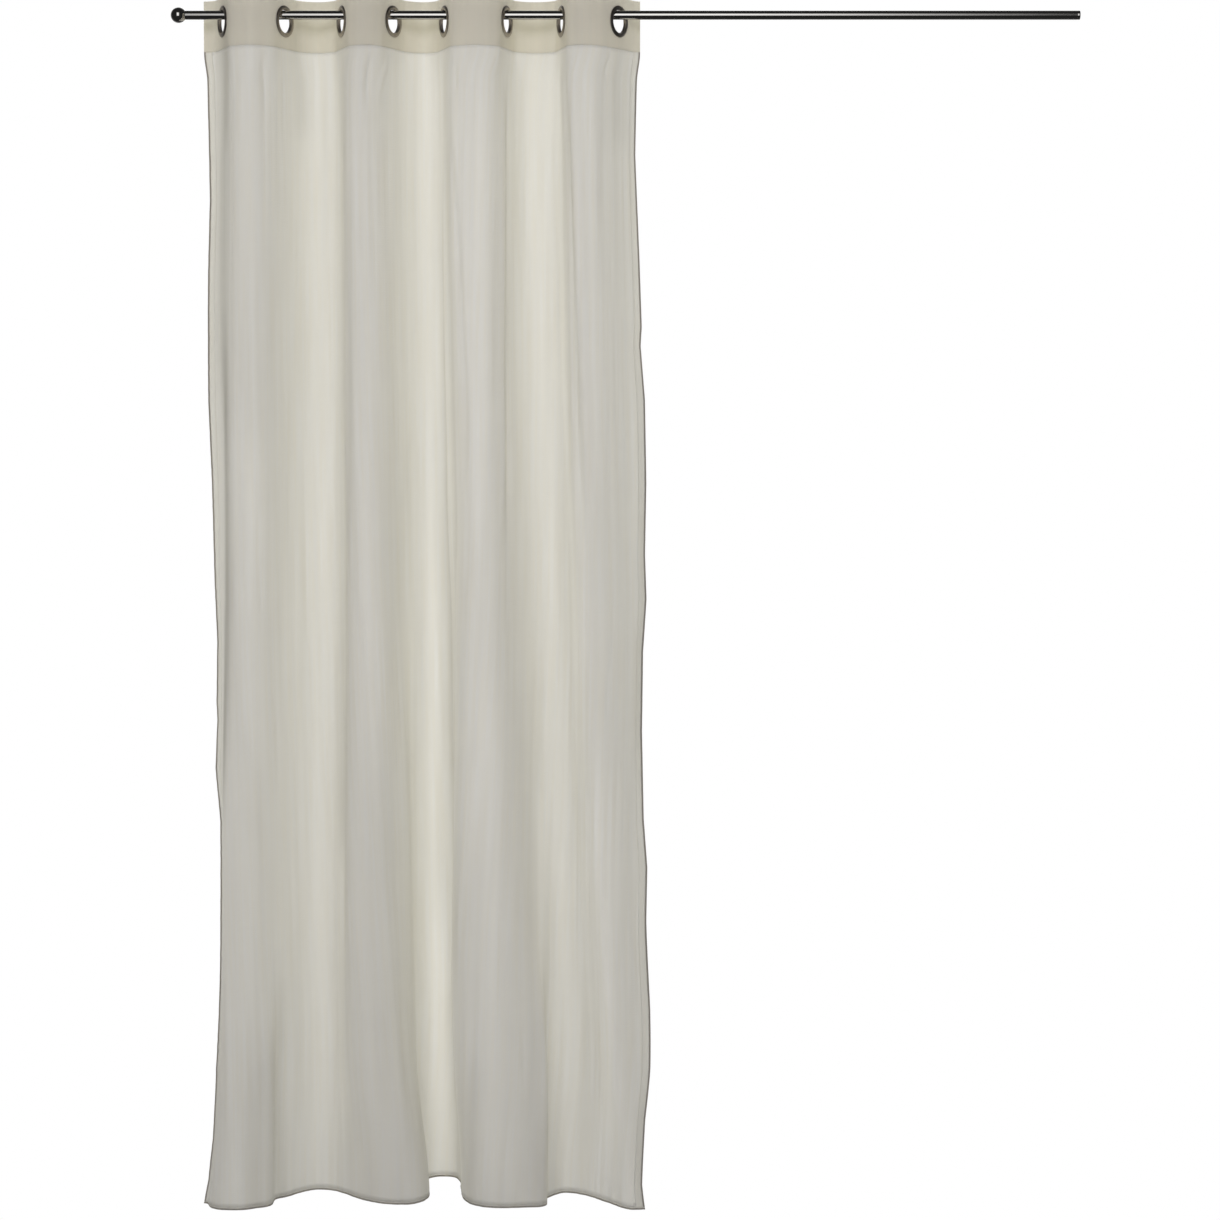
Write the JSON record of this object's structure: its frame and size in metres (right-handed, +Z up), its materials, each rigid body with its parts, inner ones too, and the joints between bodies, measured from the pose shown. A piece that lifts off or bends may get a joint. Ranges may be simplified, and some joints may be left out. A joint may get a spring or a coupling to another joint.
{
  "type": "sheer eyelet curtain with curtain rod",
  "caption": "Sheer voile curtain panel with a doubled eyelet heading, hanging in deep uneven folds on a straight steel rod with a ball finial and an end cap.",
  "frame": {"origin": "on the rod's axis, halfway between the tube's right end cap and the centre of the ball finial, where the rod's supports hold it", "axes": "+X along the rod to the viewer's right, +Y away from the viewer, +Z up"},
  "size_m": [1.8453, 0.2279, 2.466],
  "materials": {
    "voile": "fine plain-woven voile with slubs, pale warm grey",
    "doubled_voile": "the same voile folded double and stitched",
    "dark_nickel": "pressed metal, dark nickel plate, glossy",
    "brushed_steel": "satin steel tube, drawn and brushed along its length"
  },
  "bodies": {
    "root": {"curtain_panel": "voile", "heading_band": "doubled_voile", "eyelet_1_front": "dark_nickel", "eyelet_1_back": "dark_nickel", "eyelet_2_front": "dark_nickel", "eyelet_2_back": "dark_nickel", "eyelet_3_front": "dark_nickel", "eyelet_3_back": "dark_nickel", "eyelet_4_front": "dark_nickel", "eyelet_4_back": "dark_nickel", "eyelet_5_front": "dark_nickel", "eyelet_5_back": "dark_nickel", "eyelet_6_front": "dark_nickel", "eyelet_6_back": "dark_nickel", "eyelet_7_front": "dark_nickel", "eyelet_7_back": "dark_nickel", "eyelet_8_front": "dark_nickel", "eyelet_8_back": "dark_nickel", "rod": "brushed_steel", "rod_end_cap": "brushed_steel", "ball_finial": "brushed_steel"}
  },
  "joints": []
}
